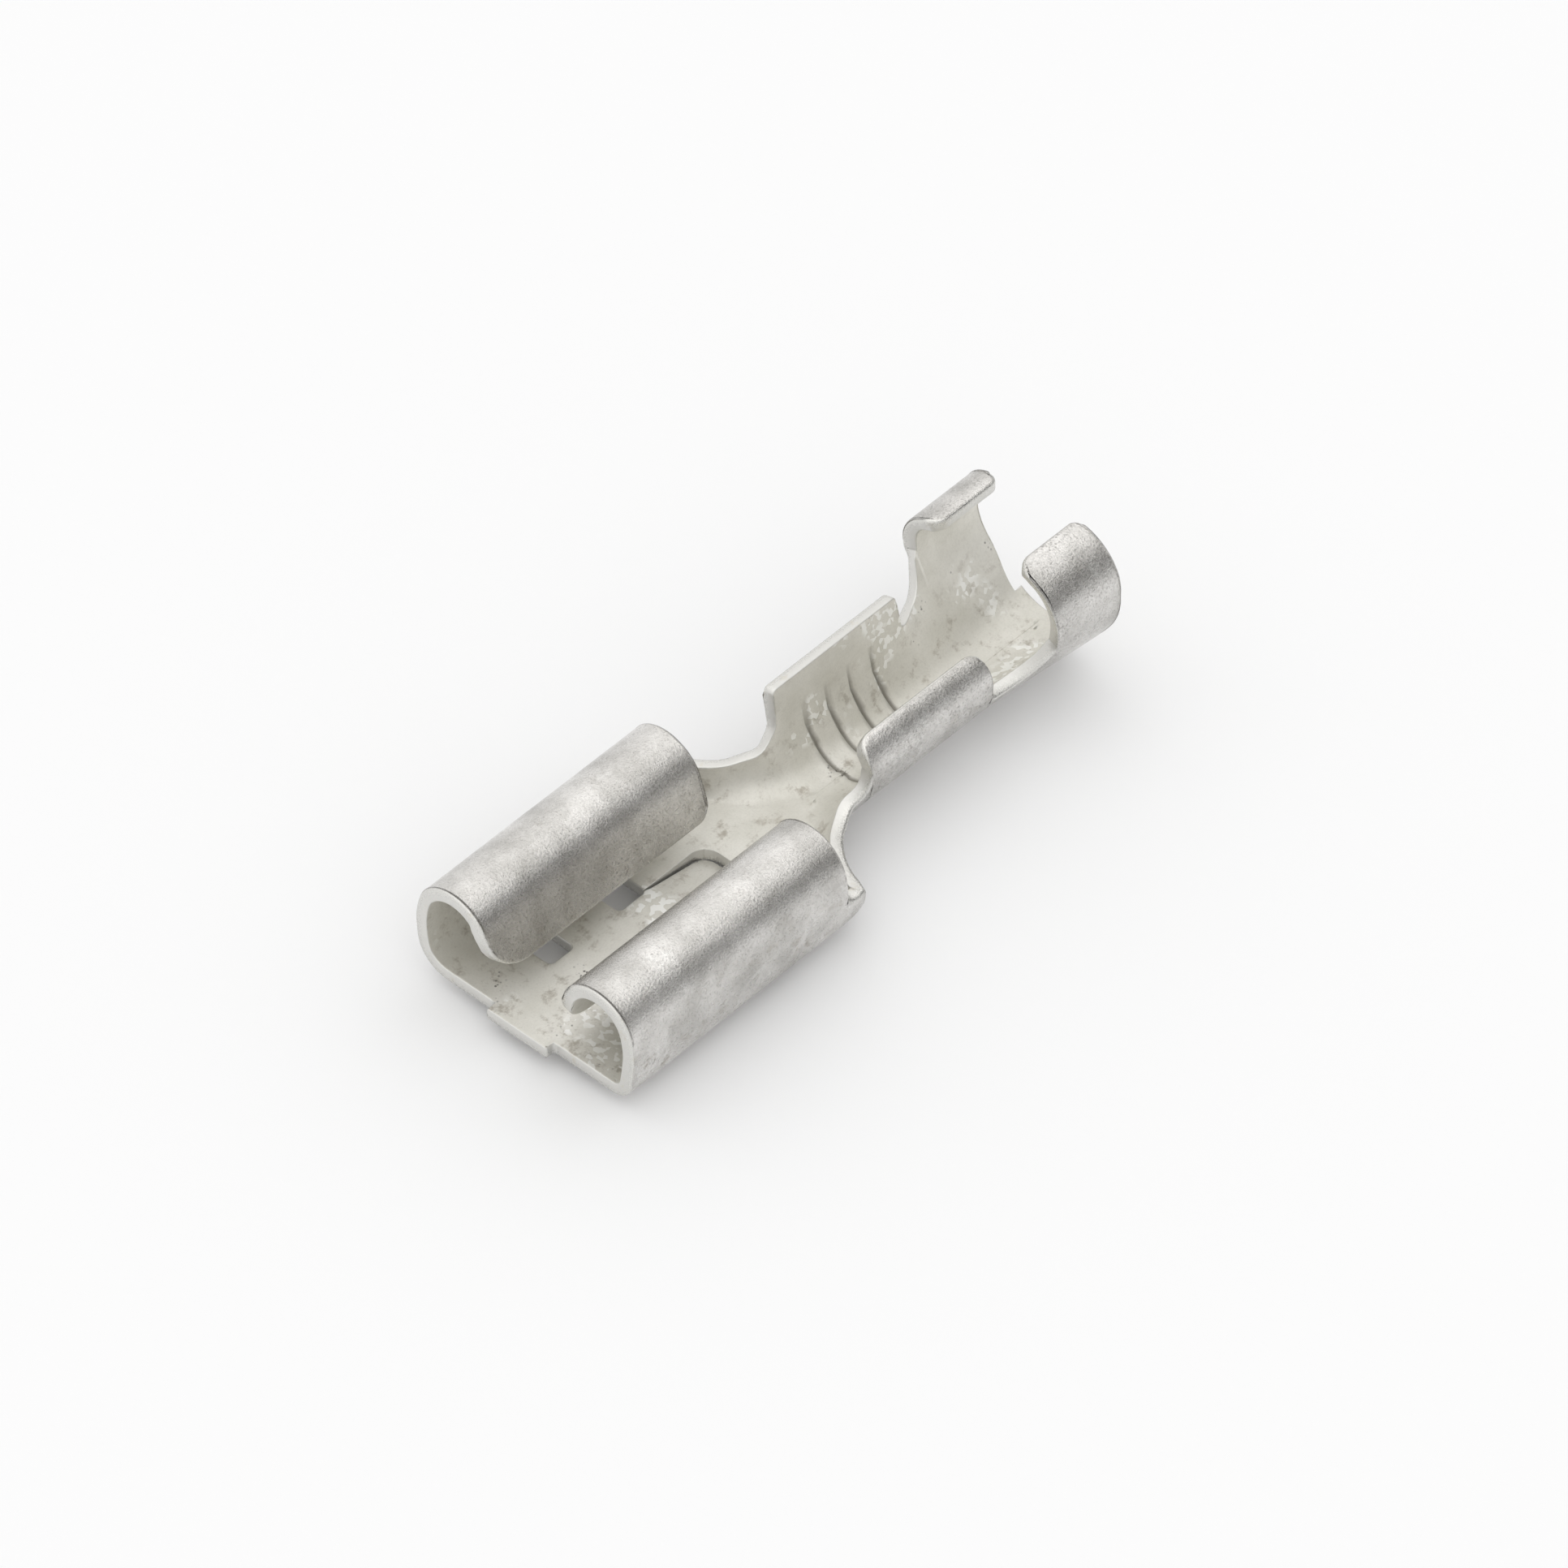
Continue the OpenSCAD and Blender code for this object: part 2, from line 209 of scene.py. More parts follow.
def climb(runs, height):
    """Distance along the strip at which its middle first reaches that height."""
    low, high, heading = 0, 0, 0
    for run, angle in runs:
        heading += angle
        if heading > 180:
            break
        high += run
    for _ in range(40):
        middle = (low + high) / 2
        low, high = (middle, high) if on_strip(runs, middle)[1] < height else (low, middle)
    return low


def rounded(radius, distance):
    """What a corner of that radius takes off an edge at that distance from the corner."""
    return 0 if distance >= radius else radius - math.sqrt(radius ** 2 - (radius - distance) ** 2)


# The blank's outline. Its edge is low beside the neck and between the barrels, and rises by a curve to
# each wing. The wings are [start, end, front corners, rear corners], with the left corner's radius first.
neck_edge, neck_fillet, roll_fillet, wing_root = 1.2, (1.8, 1.5), 0.35, 1
notch_edge, notch_rise, notch_front, notch_power = (1.95, 1.4), (1.1, 1.1), (0.12, 0.2), (5.0, 2.6)
tail_edge, wing_lean, lean_from, lean_over = 0.55, (0.1, 0.0), 1, 3.4
wings = [[0, roll_length, (1.3, 1.3), (0.45, 0.45)],
         [conductor_start, conductor_end, (0.2, 0.5), (0.15, 0.5)],
         [insulation_start, insulation_end, (0.5, 0.6), (0.3, 0.3)]]


def edge_height(x, right):
    """Height of the blank's edge at x on one side, or under a wing, of the wing's root."""
    low, rise, front = notch_edge[right], notch_rise[right], notch_front[right]
    if x < conductor_start:
        foot = rounded(roll_fillet, max(0, x - roll_length))
        climbed = rounded(neck_fillet[right], conductor_start - x) / neck_fillet[right]
        return neck_edge + foot + wing_root * climbed
    if x < conductor_end:
        along = (x - conductor_start) / (conductor_end - conductor_start)
        return neck_edge + wing_root + along * (low + front - neck_edge - wing_root)
    if x < insulation_start:
        along = (x - conductor_end) / (insulation_start - conductor_end)
        return low + rounded(front, x - conductor_end) + rise * along ** notch_power[right]
    return low + rise - (low + rise - tail_edge) * smooth(insulation_start, insulation_end, x)


# The wings on the two sides don't stand quite opposite each other. Where they do on the drawing's X line,
# they stand at these places once formed, the further up the wall the more so.
shift_from = 0.6
drawn_at = [roll_length, conductor_start, conductor_end, insulation_start, insulation_end, tail_end]
formed_at = [[8.2, 11.2, 16.06, 17.6, 20.2, 20.49], [8.2, 11.4, 16.12, 17.95, 20.34, 20.63]]


def wing_over(x):
    return next((w for w in wings if w[0] - 1e-9 <= x <= w[1] + 1e-9), None)


# Places where the strip is worked out: along X, and across the floor. Lines lie on every edge of the
# windows and the lance, with closer ones where a corner is rounded or a groove is pressed.
stub_length, stub_half = 0.3, 1.05
lance_half, slit = 0.92, 0.05
window_width, window_corner = 1.0, 0.15
windows = [[1.97, 2.85], [4.58, 5.58]]
lance_start, lance_end, lance_corner, lance_drop = 5.58, 7.83, 0.5, 0.4
groove_start, groove_pitch, groove_width, groove_count = 12.18, 0.87, 0.12, 4

closest, pitch = 0.004, 0.13
neck_stops = {8.27, 8.35, 8.45, 8.6, 8.85, 9.0, 9.15, 9.3, 9.5}
stops = neck_stops | {-stub_length, 0, roll_length, conductor_start, conductor_end, insulation_start,
                      insulation_end, tail_end, lance_start, lance_end, lance_end + slit}
for start, end, front, rear in wings:
    for share in (0.06, 0.16, 0.3, 0.5, 0.75, 1):
        stops |= {start + radius * share for radius in front} | {end - radius * share for radius in rear}
for start, end in windows:
    for share in (0.33, 0.67, 1):
        stops |= {start, start + window_corner * share, end - window_corner * share, end}
for share in (0.2, 0.4, 0.6, 0.8, 1):
    stops |= {lance_end - lance_corner * share, conductor_start - neck_fillet[0] * share ** 2,
              conductor_end + notch_front[1] * share, insulation_start - 0.3 * share}
for k in range(groove_count):
    centre = groove_start + groove_width / 2 + k * groove_pitch
    stops |= {centre + side * (groove_width / 2 + step) for side in (-1, 1) for step in (-0.03, 0.02)}
stations = sorted(stops)
stations = [x for k, x in enumerate(stations) if k == 0 or x - stations[k - 1] > closest]
for a, b in list(zip(stations, stations[1:])):
    extra = int((b - a) / pitch)
    stations += [a + (b - a) * (k + 1) / (extra + 1) for k in range(extra)]
stations.sort()

window_edge = lance_half + window_width
floor_lines = [0, 0.21, lance_half - lance_corner, 0.55, 0.68, 0.8, lance_half, lance_half + slit,
               1.02, stub_half, 1.2, 1.4, 1.6, window_edge - window_corner, window_edge - 0.1,
               window_edge - 0.05, window_edge, 2.2, 2.5, 2.8, 3.05, floor_half]
bend_cells, wing_cells = 8, 44
foot_shares, least_foot, rim_cell = (0.22, 0.44, 1), 0.3, 0.17
foot_cells = len(foot_shares)
floor_cells = len(floor_lines) - 1
half = floor_cells + bend_cells + foot_cells + wing_cells


def across(x, right):
    """Distances along the strip from the middle to its edge at x, as many at every x."""
    runs = folds(x, right)
    flat = runs[0][0]
    edge = climb(runs, edge_height(x, right))
    toe = min(flat + runs[1][0], edge - least_foot)
    wing = wing_over(x)
    top = edge + 1
    if wing:
        top = sum(run for run, _ in runs) - rounded(wing[2][right], x - wing[0]) - rounded(
            wing[3][right], wing[1] - x)
        top = max(top, edge + 0.3)
    kept = window_edge * min(1, flat / floor_half if x > roll_length else 1)
    ways = [y * kept / window_edge if y <= window_edge
            else kept + (y - window_edge) * (flat - kept) / (floor_half - window_edge) for y in floor_lines]
    ways += [flat + (toe - flat) * k / bend_cells for k in range(1, bend_cells + 1)]
    ways += [toe + (edge - toe) * share for share in foot_shares]
    below_rim = top - min(rim_cell, (top - edge) / 3)
    ways += [edge + (below_rim - edge) * k / (wing_cells - 1) for k in range(1, wing_cells)] + [top]
    return runs, ways


def round_corner(point, corner, inward, radius):
    """Bends straight lines that meet at a square corner into an arc of that radius."""
    u, v = [(radius - (point[k] - corner[k]) * inward[k]) / radius for k in (0, 1)]
    if u <= 0 or v <= 0 or max(u, v) > 2:
        return point
    cu, cv = min(u, 1), min(v, 1)
    fade = 2 - max(u, v, 1)
    du = cu * (math.sqrt(1 - cv * cv / 2) - 1) * fade
    dv = cv * (math.sqrt(1 - cu * cu / 2) - 1) * fade
    return [point[0] - du * radius * inward[0], point[1] - dv * radius * inward[1]]


columns = 2 * half + 1
middle = np.zeros((len(stations), columns, 3))
developed = np.zeros((len(stations), columns))
for j, x in enumerate(stations):
    for right in (0, 1):
        runs, ways = across(x, right)
        sign = -1 if right else 1
        for k, s in enumerate(ways):
            y, z = on_strip(runs, s)
            px, py = x, y
            if k < floor_cells and x < roll_length:
                for start, end in windows:
                    for corner, inward in (((start, lance_half), (1, 1)), ((start, window_edge), (1, -1)),
                                           ((end, lance_half), (-1, 1)), ((end, window_edge), (-1, -1))):
                        px, py = round_corner([px, py], corner, inward, window_corner)
                px, py = round_corner([px, py], (lance_end + slit / 2, lance_half + slit / 2), (-1, -1),
                                      lance_corner)
                if k <= 6 and lance_start < x < lance_end + slit / 2:
                    z -= lance_drop * (x - lance_start) / (lance_end - lance_start)
            if x > roll_length:
                up = min(1, max(0, z - shift_from))
                px += up * (np.interp(x, drawn_at, formed_at[right]) - x)
            if x > insulation_start:
                px -= wing_lean[right] * max(0, z - lean_from) / lean_over * min(1, (x - insulation_start) / (
                    insulation_end - insulation_start))
            middle[j, half + sign * k] = (px, sign * py, z)
            developed[j, half + sign * k] = sign * s


def is_there(j, c):
    """Whether the blank has the cell between stations j and j + 1 and columns c and c + 1."""
    if not (0 <= j < len(stations) - 1 and 0 <= c < columns - 1):
        return False
    x = (stations[j] + stations[j + 1]) / 2
    k = int(abs(c + 0.5 - half))
    if x < 0:
        return floor_lines[min(k + 1, floor_cells)] <= stub_half + 1e-6 and k < floor_cells
    if k < floor_cells and x < roll_length:
        y = (floor_lines[k] + floor_lines[k + 1]) / 2
        if any(start < x < end for start, end in windows) and lance_half < y < window_edge:
            return False
        if lance_start < x < lance_end + slit and lance_half < y < lance_half + slit:
            return False
        if lance_end < x < lance_end + slit and y < lance_half + slit:
            return False
    return k < floor_cells + bend_cells + foot_cells or wing_over(x) is not None


# The mesh: the outer and inner face of every cell, and round the cut edges a rim. The punch rounds the
# outer edge as it draws the strip in, and leaves the inner edge nearly sharp.
there = np.array([[is_there(j, c) for c in range(columns - 1)] for j in range(len(stations) - 1)])
facing = np.cross(middle[1:, 1:] - middle[:-1, :-1], middle[:-1, 1:] - middle[1:, :-1])
facing *= np.where(there, 1, 0)[:, :, None]
facing /= np.linalg.norm(facing, axis=2, keepdims=True) + 1e-12
normal = np.zeros_like(middle)
for dj in (0, 1):
    for dc in (0, 1):
        normal[dj:len(stations) - 1 + dj, dc:columns - 1 + dc] += facing
normal /= np.linalg.norm(normal, axis=2, keepdims=True) + 1e-12

outward = {}
rim_edges = []
for j, c in zip(*np.nonzero(there)):
    ring = [(j, c), (j + 1, c), (j + 1, c + 1), (j, c + 1)]
    centre = sum(middle[p] for p in ring) / 4
    for (dj, dc), (a, b) in zip(((0, -1), (1, 0), (0, 1), (-1, 0)), zip(ring, ring[1:] + ring[:1])):
        nj, nc = j + dj, c + dc
        if 0 <= nj < there.shape[0] and 0 <= nc < there.shape[1] and there[nj, nc]:
            continue
        run = middle[b] - middle[a]
        out = np.cross(run, normal[a] + normal[b])
        length = np.linalg.norm(out)
        if length < 1e-9:
            continue
        out /= length
        if np.dot(out, middle[a] - centre) + np.dot(out, middle[b] - centre) < 0:
            out = -out
        rim_edges.append((a, b))
        for p in (a, b):
            outward.setdefault(p, []).append(out)

points = []
rim_share = []
inside_share = []
developed_at = []


def add_point(place, rim, inside, where):
    points.append(place * MM)
    rim_share.append(rim)
    inside_share.append(inside)
    developed_at.append(abs(developed[where]) * MM)
    return len(points) - 1


outer_round, inner_round, lance_round, share_of_room, arc_steps = 0.11, 0.045, 0.02, 0.7, 3
outer_point, inner_point, rim_chain = {}, {}, {}
used = {p for j, c in zip(*np.nonzero(there)) for p in ((j, c), (j + 1, c), (j + 1, c + 1), (j, c + 1))}
for p in sorted(used):
    m, n = middle[p], normal[p]
    if p not in outward:
        outer_point[p] = add_point(m - n * sheet / 2, 0, 0, p)
        inner_point[p] = add_point(m + n * sheet / 2, 0, 1, p)
        continue
    outs = outward[p]
    b = sum(outs) / len(outs)
    b = b / max(np.dot(b, b), 0.45)
    room = min([np.linalg.norm(middle[q] - m) for dj, dc in ((1, 0), (-1, 0), (0, 1), (0, -1))
                for q in [(p[0] + dj, p[1] + dc)] if q in used and q not in outward] + [1])
    near_lance = lance_start - 0.01 < stations[p[0]] < lance_end + 0.1 and abs(m[1]) < lance_half + 0.1
    ro = min(lance_round if near_lance else outer_round, room * share_of_room)
    ri = min(lance_round if near_lance else inner_round, room * share_of_room)
    chain = []
    for k in range(arc_steps + 1):
        a = math.pi / 2 * k / arc_steps
        chain.append(add_point(m - n * (sheet / 2 - ro + ro * math.cos(a)) + b * ro * (math.sin(a) - 1),
                               0 if k == 0 else 1, 0, p))
    for k in range(arc_steps, -1, -1):
        a = math.pi / 2 * k / arc_steps
        chain.append(add_point(m + n * (sheet / 2 - ri + ri * math.cos(a)) + b * ri * (math.sin(a) - 1),
                               0 if k == 0 else 1, 1 if k == 0 else 0.5, p))
    outer_point[p], inner_point[p], rim_chain[p] = chain[0], chain[-1], chain

faces = []
for j, c in zip(*np.nonzero(there)):
    ring = [(j, c), (j + 1, c), (j + 1, c + 1), (j, c + 1)]
    faces.append([outer_point[p] for p in ring][::-1])
    faces.append([inner_point[p] for p in ring])
for a, b in rim_edges:
    for k in range(len(rim_chain[a]) - 1):
        faces.append([rim_chain[a][k], rim_chain[a][k + 1], rim_chain[b][k + 1], rim_chain[b][k]][::-1])

strip_mesh = bpy.data.meshes.new("terminal_strip")
strip_mesh.from_pydata([tuple(p) for p in points], [], faces)
for name, values in (("rim", rim_share), ("inside", inside_share), ("developed", developed_at)):
    strip_mesh.attributes.new(name, "FLOAT", "POINT").data.foreach_set("value", np.array(values, np.float32))
strip_mesh.polygons.foreach_set("use_smooth", [True] * len(strip_mesh.polygons))
strip_mesh.update()
strip = bpy.data.objects.new("terminal_strip", strip_mesh)
bpy.context.scene.collection.objects.link(strip)


# Satin tin plate on brass, plated before the strip was pressed. The outside is a glossy light grey with
# fine dark grains where it slid over the tool, the inside pale under a dull film with painted highlights,
# near-white glints put into its colour, and the sheared edges are pale with a trace of bare brass.
def linear(hex_colour):
    """An sRGB hex colour as a linear colour."""
    parts = [int(hex_colour[k:k + 2], 16) / 255 for k in (1, 3, 5)]
    return [p / 12.92 if p <= 0.04045 else ((p + 0.055) / 1.055) ** 2.4 for p in parts] + [1]


def add(tree, kind, settings=None, **links):
    """A new node. settings are its properties, and links its inputs, each a value or an output."""
    node = tree.nodes.new(kind)
    for name, value in (settings or {}).items():
        setattr(node, name, value)
    for name, value in links.items():
        name = int(name[1:]) if name[1:].isdigit() else name.replace("_", " ")
        if isinstance(value, bpy.types.NodeSocket):
            tree.links.new(value, node.inputs[name])
        else:
            node.inputs[name].default_value = value
    return node


# Patterns are given as a count per mm of surface. The real grains and scratches are finer, and these
# are as coarse as they need to be to show.
grains_per_mm, spots_per_mm, patches_per_mm = 15, 1.9, 0.7
specks_per_mm, glints_per_mm, glint_patches_per_mm = 9, 7, 0.43
scratches_along, scratches_across = 0.7, 9
tin = bpy.data.materials.new("tin_plate_satin")
tin.use_nodes = True
nodes = tin.node_tree
nodes.nodes.clear()
place = add(nodes, "ShaderNodeTexCoord").outputs["Object"]
inside = add(nodes, "ShaderNodeAttribute", {"attribute_name": "inside"}).outputs["Fac"]
rim = add(nodes, "ShaderNodeAttribute", {"attribute_name": "rim"}).outputs["Fac"]
grain = add(nodes, "ShaderNodeTexNoise", Vector=place, Scale=grains_per_mm / MM, Detail=5.0,
            Roughness=0.75).outputs[0]
patches = add(nodes, "ShaderNodeTexNoise", Vector=place, Scale=patches_per_mm / MM, Detail=4.0,
              Roughness=0.6).outputs[0]
dull = add(nodes, "ShaderNodeTexNoise", Vector=place, Scale=spots_per_mm / MM, Detail=5.0,
           Roughness=0.7).outputs[0]

# The plating's colour: a neutral light grey in soft patches, with less contrast on the inside.
outside_tone = add(nodes, "ShaderNodeValToRGB", Fac=patches)
inside_tone = add(nodes, "ShaderNodeValToRGB", Fac=patches)
for tone, tints in ((outside_tone, ((0.32, "#BFBDB9"), (0.66, "#E6E4E1"))),
                    (inside_tone, ((0.28, "#D6D4CB"), (0.66, "#E7E5DE")))):
    for element, (position, tint) in zip(tone.color_ramp.elements, tints):
        element.position, element.color = position, linear(tint)
plate = add(nodes, "ShaderNodeMix", {"data_type": "RGBA"}, _0=inside, _6=outside_tone.outputs[0],
            _7=inside_tone.outputs[0]).outputs[2]

# Fine grey grains, thick and clumped on the outside and most of all on the barrels, and faint brownish
# grey patches that darken the colour the lower the surface lies.
where = add(nodes, "ShaderNodeSeparateXYZ", Vector=place).outputs
height = where["Z"]
low_down = add(nodes, "ShaderNodeMapRange", {"interpolation_type": "SMOOTHSTEP"}, Value=height,
               From_Min=0.6 * MM, From_Max=2.6 * MM, To_Min=1.0, To_Max=0.15).outputs[0]
patchy = add(nodes, "ShaderNodeMapRange", {"interpolation_type": "SMOOTHSTEP"}, Value=dull,
              From_Min=0.52, From_Max=0.72, To_Min=0.0, To_Max=0.75).outputs[0]
# Brownish grey patches darken the colour towards the bottom.
low_patch_share = add(nodes, "ShaderNodeMath", {"operation": "MULTIPLY"}, _0=low_down, _1=patchy).outputs[0]
darker_low_plate = add(nodes, "ShaderNodeMix", {"data_type": "RGBA"}, _0=low_patch_share, _6=plate,
                    _7=linear("#A49C8F")).outputs[2]
outside_grain = add(nodes, "ShaderNodeMapRange", {"interpolation_type": "SMOOTHSTEP"}, Value=where["X"],
                    From_Min=9 * MM, From_Max=12 * MM, To_Min=0.42, To_Max=0.72).outputs[0]
clumped = add(nodes, "ShaderNodeMapRange", {"interpolation_type": "SMOOTHSTEP"}, Value=dull,
              From_Min=0.38, From_Max=0.6, To_Min=0.45, To_Max=1.0).outputs[0]
outside_depth = add(nodes, "ShaderNodeMath", {"operation": "MULTIPLY"}, _0=outside_grain,
                    _1=clumped).outputs[0]
grain_depth = add(nodes, "ShaderNodeMapRange", Value=inside, To_Min=outside_depth, To_Max=0.08).outputs[0]
grain_dark = add(nodes, "ShaderNodeMapRange", {"interpolation_type": "SMOOTHSTEP"}, Value=grain,
                 From_Min=0.44, From_Max=0.7, To_Min=0.0, To_Max=grain_depth).outputs[0]
grained = add(nodes, "ShaderNodeMix", {"data_type": "RGBA"}, _0=grain_dark, _6=darker_low_plate,
              _7=linear("#7D7B77")).outputs[2]

# Dark specks of dirt in loose clusters, a few to each square millimetre and none between the clusters.
speck = add(nodes, "ShaderNodeTexVoronoi", {"feature": "F1"}, Vector=place,
            Scale=specks_per_mm / MM).outputs["Distance"]
speck_here = add(nodes, "ShaderNodeMapRange", Value=speck, From_Min=0.22, From_Max=0.36, To_Min=1.0,
                 To_Max=0.0).outputs[0]
speck_depth = add(nodes, "ShaderNodeMapRange", Value=inside, To_Min=0.4, To_Max=0.9).outputs[0]
cluster = add(nodes, "ShaderNodeMapRange", {"interpolation_type": "SMOOTHSTEP"}, Value=patches,
              From_Min=0.62, From_Max=0.69, To_Min=0.0, To_Max=speck_depth).outputs[0]
specks = add(nodes, "ShaderNodeMath", {"operation": "MULTIPLY"}, _0=speck_here, _1=cluster).outputs[0]
specked = add(nodes, "ShaderNodeMix", {"data_type": "RGBA"}, _0=specks, _6=grained,
              _7=linear("#4A463F")).outputs[2]

# Painted highlights: near-white glints painted into the colour in patches, strongest on the inside.
glint_cell = add(nodes, "ShaderNodeTexVoronoi", {"feature": "F1"}, Vector=place,
            Scale=glints_per_mm / MM).outputs["Color"]
glint_level = add(nodes, "ShaderNodeSeparateColor", Color=glint_cell).outputs[0]
glint_here = add(nodes, "ShaderNodeMapRange", Value=glint_level, From_Min=0.62, From_Max=0.66).outputs[0]
glint_patch_place = add(nodes, "ShaderNodeMapping", Vector=place,
                    Location=(2.1 * MM, 1.3 * MM, 0.4 * MM)).outputs[0]
glint_patches = add(nodes, "ShaderNodeTexNoise", Vector=glint_patch_place, Scale=glint_patches_per_mm / MM,
                   Detail=3.0).outputs[0]
glint_depth = add(nodes, "ShaderNodeMapRange", Value=inside, To_Min=0.25, To_Max=0.85).outputs[0]
glint_patch = add(nodes, "ShaderNodeMapRange", {"interpolation_type": "SMOOTHSTEP"}, Value=glint_patches,
                  From_Min=0.55, From_Max=0.62, To_Min=0.0, To_Max=glint_depth).outputs[0]
painted_glints = add(nodes, "ShaderNodeMath", {"operation": "MULTIPLY"}, _0=glint_here, _1=glint_patch).outputs[0]
# The painted glints turn the colour near-white.
glinted = add(nodes, "ShaderNodeMix", {"data_type": "RGBA"}, _0=painted_glints, _6=specked,
               _7=linear("#FBFBF8")).outputs[2]

# The sheared edges: pale broken metal with a faint cast of bare brass, and a thin grey line at the rim's
# borders.
brassy = add(nodes, "ShaderNodeValToRGB", Fac=dull)
for element, (position, tint) in zip(brassy.color_ramp.elements, ((0.6, "#DBDAD6"), (0.82, "#CFC9B8"))):
    element.position, element.color = position, linear(tint)
edge_share = add(nodes, "ShaderNodeMapRange", Value=rim, From_Min=0.55, From_Max=0.9).outputs[0]
# A thin grey line is mixed in where the rim meets the faces.
rim_border = add(nodes, "ShaderNodeValToRGB", Fac=rim)
for element, (position, level) in zip(rim_border.color_ramp.elements, ((0.2, 0.0), (0.9, 0.0))):
    element.position, element.color = position, (level, level, level, 1)
line = rim_border.color_ramp.elements.new(0.6)
line.color = (0.3, 0.3, 0.3, 1)
edged = add(nodes, "ShaderNodeMix", {"data_type": "RGBA"}, _0=edge_share, _6=glinted,
            _7=brassy.outputs[0]).outputs[2]
colour = add(nodes, "ShaderNodeMix", {"data_type": "RGBA"}, _0=rim_border.outputs[0], _6=edged,
             _7=linear("#8A877F")).outputs[2]

# Gloss: satin, duller in the grains, and fine scratches drawn along the strip by the tool.
along = add(nodes, "ShaderNodeMapping", Vector=place, Scale=(
    scratches_along / MM, scratches_across / MM, scratches_across / MM)).outputs[0]
drawn = add(nodes, "ShaderNodeTexNoise", Vector=along, Scale=1.0, Detail=4.0, Roughness=0.7).outputs[0]
inner_gloss = add(nodes, "ShaderNodeMapRange", Value=inside, To_Min=0.0, To_Max=0.3).outputs[0]
grain_gloss = add(nodes, "ShaderNodeMapRange", Value=grain, From_Min=0.3, From_Max=0.7, To_Min=0.17,
                  To_Max=0.34).outputs[0]
gloss = add(nodes, "ShaderNodeMath", {"operation": "ADD"}, _0=inner_gloss, _1=grain_gloss).outputs[0]
relief = add(nodes, "ShaderNodeMath", {"operation": "MULTIPLY_ADD"}, _0=drawn, _1=0.2, _2=grain).outputs[0]
relief_strength = add(nodes, "ShaderNodeMapRange", Value=inside, To_Min=0.6, To_Max=0.12).outputs[0]
bump = add(nodes, "ShaderNodeBump", Height=relief, Strength=relief_strength, Distance=0.03 * MM).outputs[0]
# The colour is a darker grey-olive in the grooves.
pressed_in = add(nodes, "ShaderNodeAttribute", {"attribute_name": "groove"}).outputs["Fac"]
groove_darkening = add(nodes, "ShaderNodeMath", {"operation": "MULTIPLY"}, _0=pressed_in, _1=0.8).outputs[0]
colour = add(nodes, "ShaderNodeMix", {"data_type": "RGBA"}, _0=groove_darkening, _6=colour,
             _7=linear("#77736A")).outputs[2]

# The dull film on the inside scatters light as paint does, so only half of it counts as bare metal.
metal = add(nodes, "ShaderNodeMapRange", Value=inside, To_Min=1.0, To_Max=0.5).outputs[0]
surface = add(nodes, "ShaderNodeBsdfPrincipled", Base_Color=colour, Metallic=metal, Roughness=gloss,
              Normal=bump)
add(nodes, "ShaderNodeOutputMaterial", Surface=surface.outputs["BSDF"])


# The press tool: four serration ribs that cut across the conductor barrel's inside, and the slight
# unevenness that bending leaves in thin strip. Both push the strip's faces inwards along their normals.
groove_depth, groove_reach, unevenness = 0.07, 2.85, 0.012
groove_fade, groove_flat, groove_slope, waves_per_mm = 0.22, 0.02, 0.03, 0.42
press = bpy.data.node_groups.new("press_tool", "GeometryNodeTree")
sizes = [("Geometry", "NodeSocketGeometry", None), ("Groove Count", "NodeSocketFloat", groove_count),
         ("Groove Pitch", "NodeSocketFloat", groove_pitch * MM),
         ("Groove Width", "NodeSocketFloat", groove_width * MM),
         ("Groove Depth", "NodeSocketFloat", groove_depth * MM),
         ("First Groove", "NodeSocketFloat", (groove_start + groove_width / 2) * MM),
         ("Groove Reach", "NodeSocketFloat", groove_reach * MM),
         ("Unevenness", "NodeSocketFloat", unevenness * MM),
         ("Finish", "NodeSocketMaterial", tin)]
for name, kind, value in sizes:
    socket = press.interface.new_socket(name, in_out="INPUT", socket_type=kind)
    if value is not None:
        socket.default_value = value
press.interface.new_socket("Geometry", in_out="OUTPUT", socket_type="NodeSocketGeometry")
given = add(press, "NodeGroupInput").outputs

at = add(press, "ShaderNodeSeparateXYZ", Vector=add(press, "GeometryNodeInputPosition").outputs[0]).outputs
from_first = add(press, "ShaderNodeMath", {"operation": "SUBTRACT"}, _0=at["X"], _1=given["First Groove"])
pitches = add(press, "ShaderNodeMath", {"operation": "DIVIDE"}, _0=from_first.outputs[0],
              _1=given["Groove Pitch"])
number = add(press, "ShaderNodeMath", {"operation": "ROUND"}, _0=pitches.outputs[0])
last = add(press, "ShaderNodeMath", {"operation": "SUBTRACT"}, _0=given["Groove Count"], _1=1.0)
nearest = add(press, "ShaderNodeClamp", Value=number.outputs[0], Min=0.0, Max=last.outputs[0])
centre = add(press, "ShaderNodeMath", {"operation": "MULTIPLY_ADD"}, _0=nearest.outputs[0],
             _1=given["Groove Pitch"], _2=given["First Groove"])
aside = add(press, "ShaderNodeMath", {"operation": "SUBTRACT"}, _0=at["X"], _1=centre.outputs[0])
off_centre = add(press, "ShaderNodeMath", {"operation": "ABSOLUTE"}, _0=aside.outputs[0])
half_groove = add(press, "ShaderNodeMath", {"operation": "MULTIPLY"}, _0=given["Groove Width"], _1=0.5)
flat_end = add(press, "ShaderNodeMath", {"operation": "SUBTRACT"}, _0=half_groove.outputs[0],
               _1=groove_flat * MM)
slope_end = add(press, "ShaderNodeMath", {"operation": "ADD"}, _0=half_groove.outputs[0],
                _1=groove_slope * MM)
